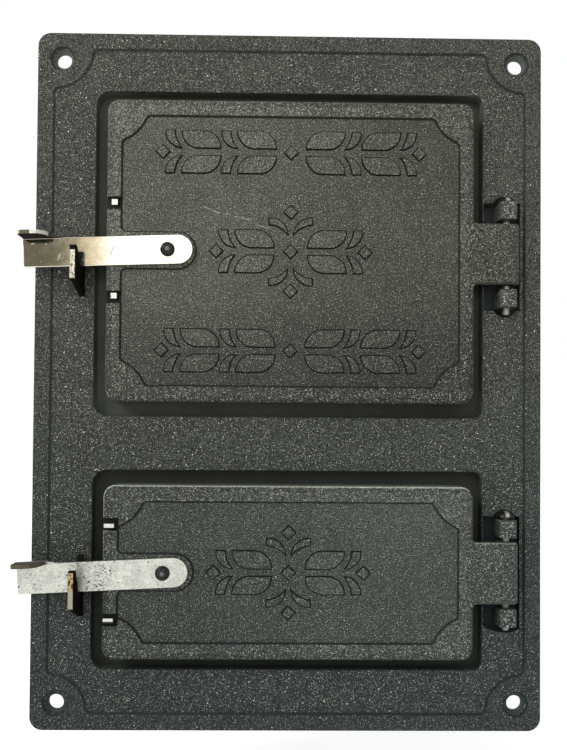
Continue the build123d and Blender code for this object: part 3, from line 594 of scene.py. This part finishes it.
# Latch washers: small rings punched from steel sheet. They lie under the rivets' closed tails, on the
# doors' backs, and are dull with a few dark specks.
WASHER_BRIGHT = (0.50, 0.50, 0.48, 1)
WASHER_DULL = (0.38, 0.38, 0.36, 1)


def light_specks(place, point, facing):
    specks = between(noise(place, 500, 2), 0.62, 0.72)
    return PIT, specks * 0.8, specks * 0.5


washer_steel = bare_steel("washer_steel", WASHER_BRIGHT, WASHER_DULL, 0.35, light_specks)
paint_node("upper_latch_washer", washer_steel)
paint_node("lower_latch_washer", washer_steel)

# Keepers: hooks cut from steel plate and riveted in slots of the frame, which the levers drop into. Their
# sides are painted near black as shade, and only the noses' fronts are rubbed bright. The lower nose
# is yellow, with spots of rust, and grey towards its tip.
UPPER_NOSE_BRIGHT = (0.72, 0.68, 0.58, 1)
UPPER_NOSE_DULL = (0.55, 0.51, 0.42, 1)
LOWER_NOSE_BRIGHT = (0.62, 0.54, 0.36, 1)
LOWER_NOSE_DULL = (0.50, 0.42, 0.26, 1)
NOSE_YELLOW = (0.50, 0.40, 0.20, 1)
NOSE_GREY = (0.34, 0.35, 0.29, 1)
NOSE_GREY_TOP = -0.138
NOSE_DEPTH = -0.0325
NOSE_RUBBED = {"upper_keeper": (0.0017, 0.0837), "lower_keeper": (0.0016, -0.1278)}


def nose_rubbed(name, point):
    """1 on the front of a keeper's nose, up to a height and clear of its side edges."""
    x, y, z = point
    low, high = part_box(name)
    half_wide, top = NOSE_RUBBED[name]
    front = between(y, NOSE_DEPTH, NOSE_DEPTH + 0.0003, 1, 0) * near(x, (low[0] + high[0]) / 2, half_wide)
    return front * between(z, top - 0.0005, top, 1, 0)


def upper_keeper_painted_shade(place, point, facing):
    """Painted shade, near black, all over, apart from the nose's speckled front."""
    spots = between(noise(place, 900, 2), 0.48, 0.60) * 0.8
    # painted shade: near black everywhere but on the nose's front
    return BLACK_SCALE_AND_SHADE, 1 - nose_rubbed("upper_keeper", point) * (1 - spots), spots


def lower_keeper_film_and_painted_shade(place, point, facing):
    """Painted shade, near black, all over, apart from a film of yellow, rust and grey on the nose's front."""
    rubbed = nose_rubbed("lower_keeper", point)
    grey_below = between(point[2], NOSE_GREY_TOP - 0.002, NOSE_GREY_TOP, 1, 0)
    spots = between(noise(place, 420, 2), 0.5, 0.58) * (1 - grey_below * 0.7)
    film = mixed(grey_below, mixed(spots, NOSE_YELLOW, RUST), NOSE_GREY)
    # painted shade: near black everywhere but on the nose's front
    return mixed(rubbed, BLACK_SCALE_AND_SHADE, film), 1 - rubbed * (1 - spots) * 0.35, spots


paint_node("upper_keeper", bare_steel(
    "upper_keeper_steel", UPPER_NOSE_BRIGHT, UPPER_NOSE_DULL, 0.3, upper_keeper_painted_shade))
paint_node("lower_keeper", bare_steel(
    "lower_keeper_steel", LOWER_NOSE_BRIGHT, LOWER_NOSE_DULL, 0.4, lower_keeper_film_and_painted_shade))

# Heat shields: plain sheet steel behind each door, held by two cast hooks at the hinge side and by two
# clips that come through the door's notches. The ends of the lower clips carry painted shade, so that
# they are bright only in the middle.
SHEET_BRIGHT = (0.60, 0.58, 0.54, 1)
SHEET_DULL = (0.56, 0.54, 0.50, 1)
CLIP_DEPTH = -0.0110
LOWER_CLIPS_UNSHADED = [(-0.0996, 0.0013), (-0.1630, 0.0011)]


def sheet_dirt_and_painted_shade(place, point, facing):
    """A few specks, dark on the sheet's cut edges, and painted shade on the ends of the lower clips."""
    x, y, z = point
    cover, specks, pits = light_specks(place, point, facing)
    edge = between(abs(facing[1]), 0.90, 0.98, 0.95, 0)
    # painted shade: the lower clips' ends behind the door are darkened, apart from a band in the middle of
    # each
    clip = between(y, CLIP_DEPTH - 0.001, CLIP_DEPTH, 1, 0) * between(z, -0.06, -0.05, 1, 0)
    for middle, half in LOWER_CLIPS_UNSHADED:
        clip = clip * (1 - near(z, middle, half))
    return cover, specks.at_least((clip * 0.95).at_least(edge)), pits


shield_steel = bare_steel("shield_sheet_steel", SHEET_BRIGHT, SHEET_DULL, 0.3, sheet_dirt_and_painted_shade)
paint_node("upper_heat_shield", shield_steel)
paint_node("lower_heat_shield", shield_steel)
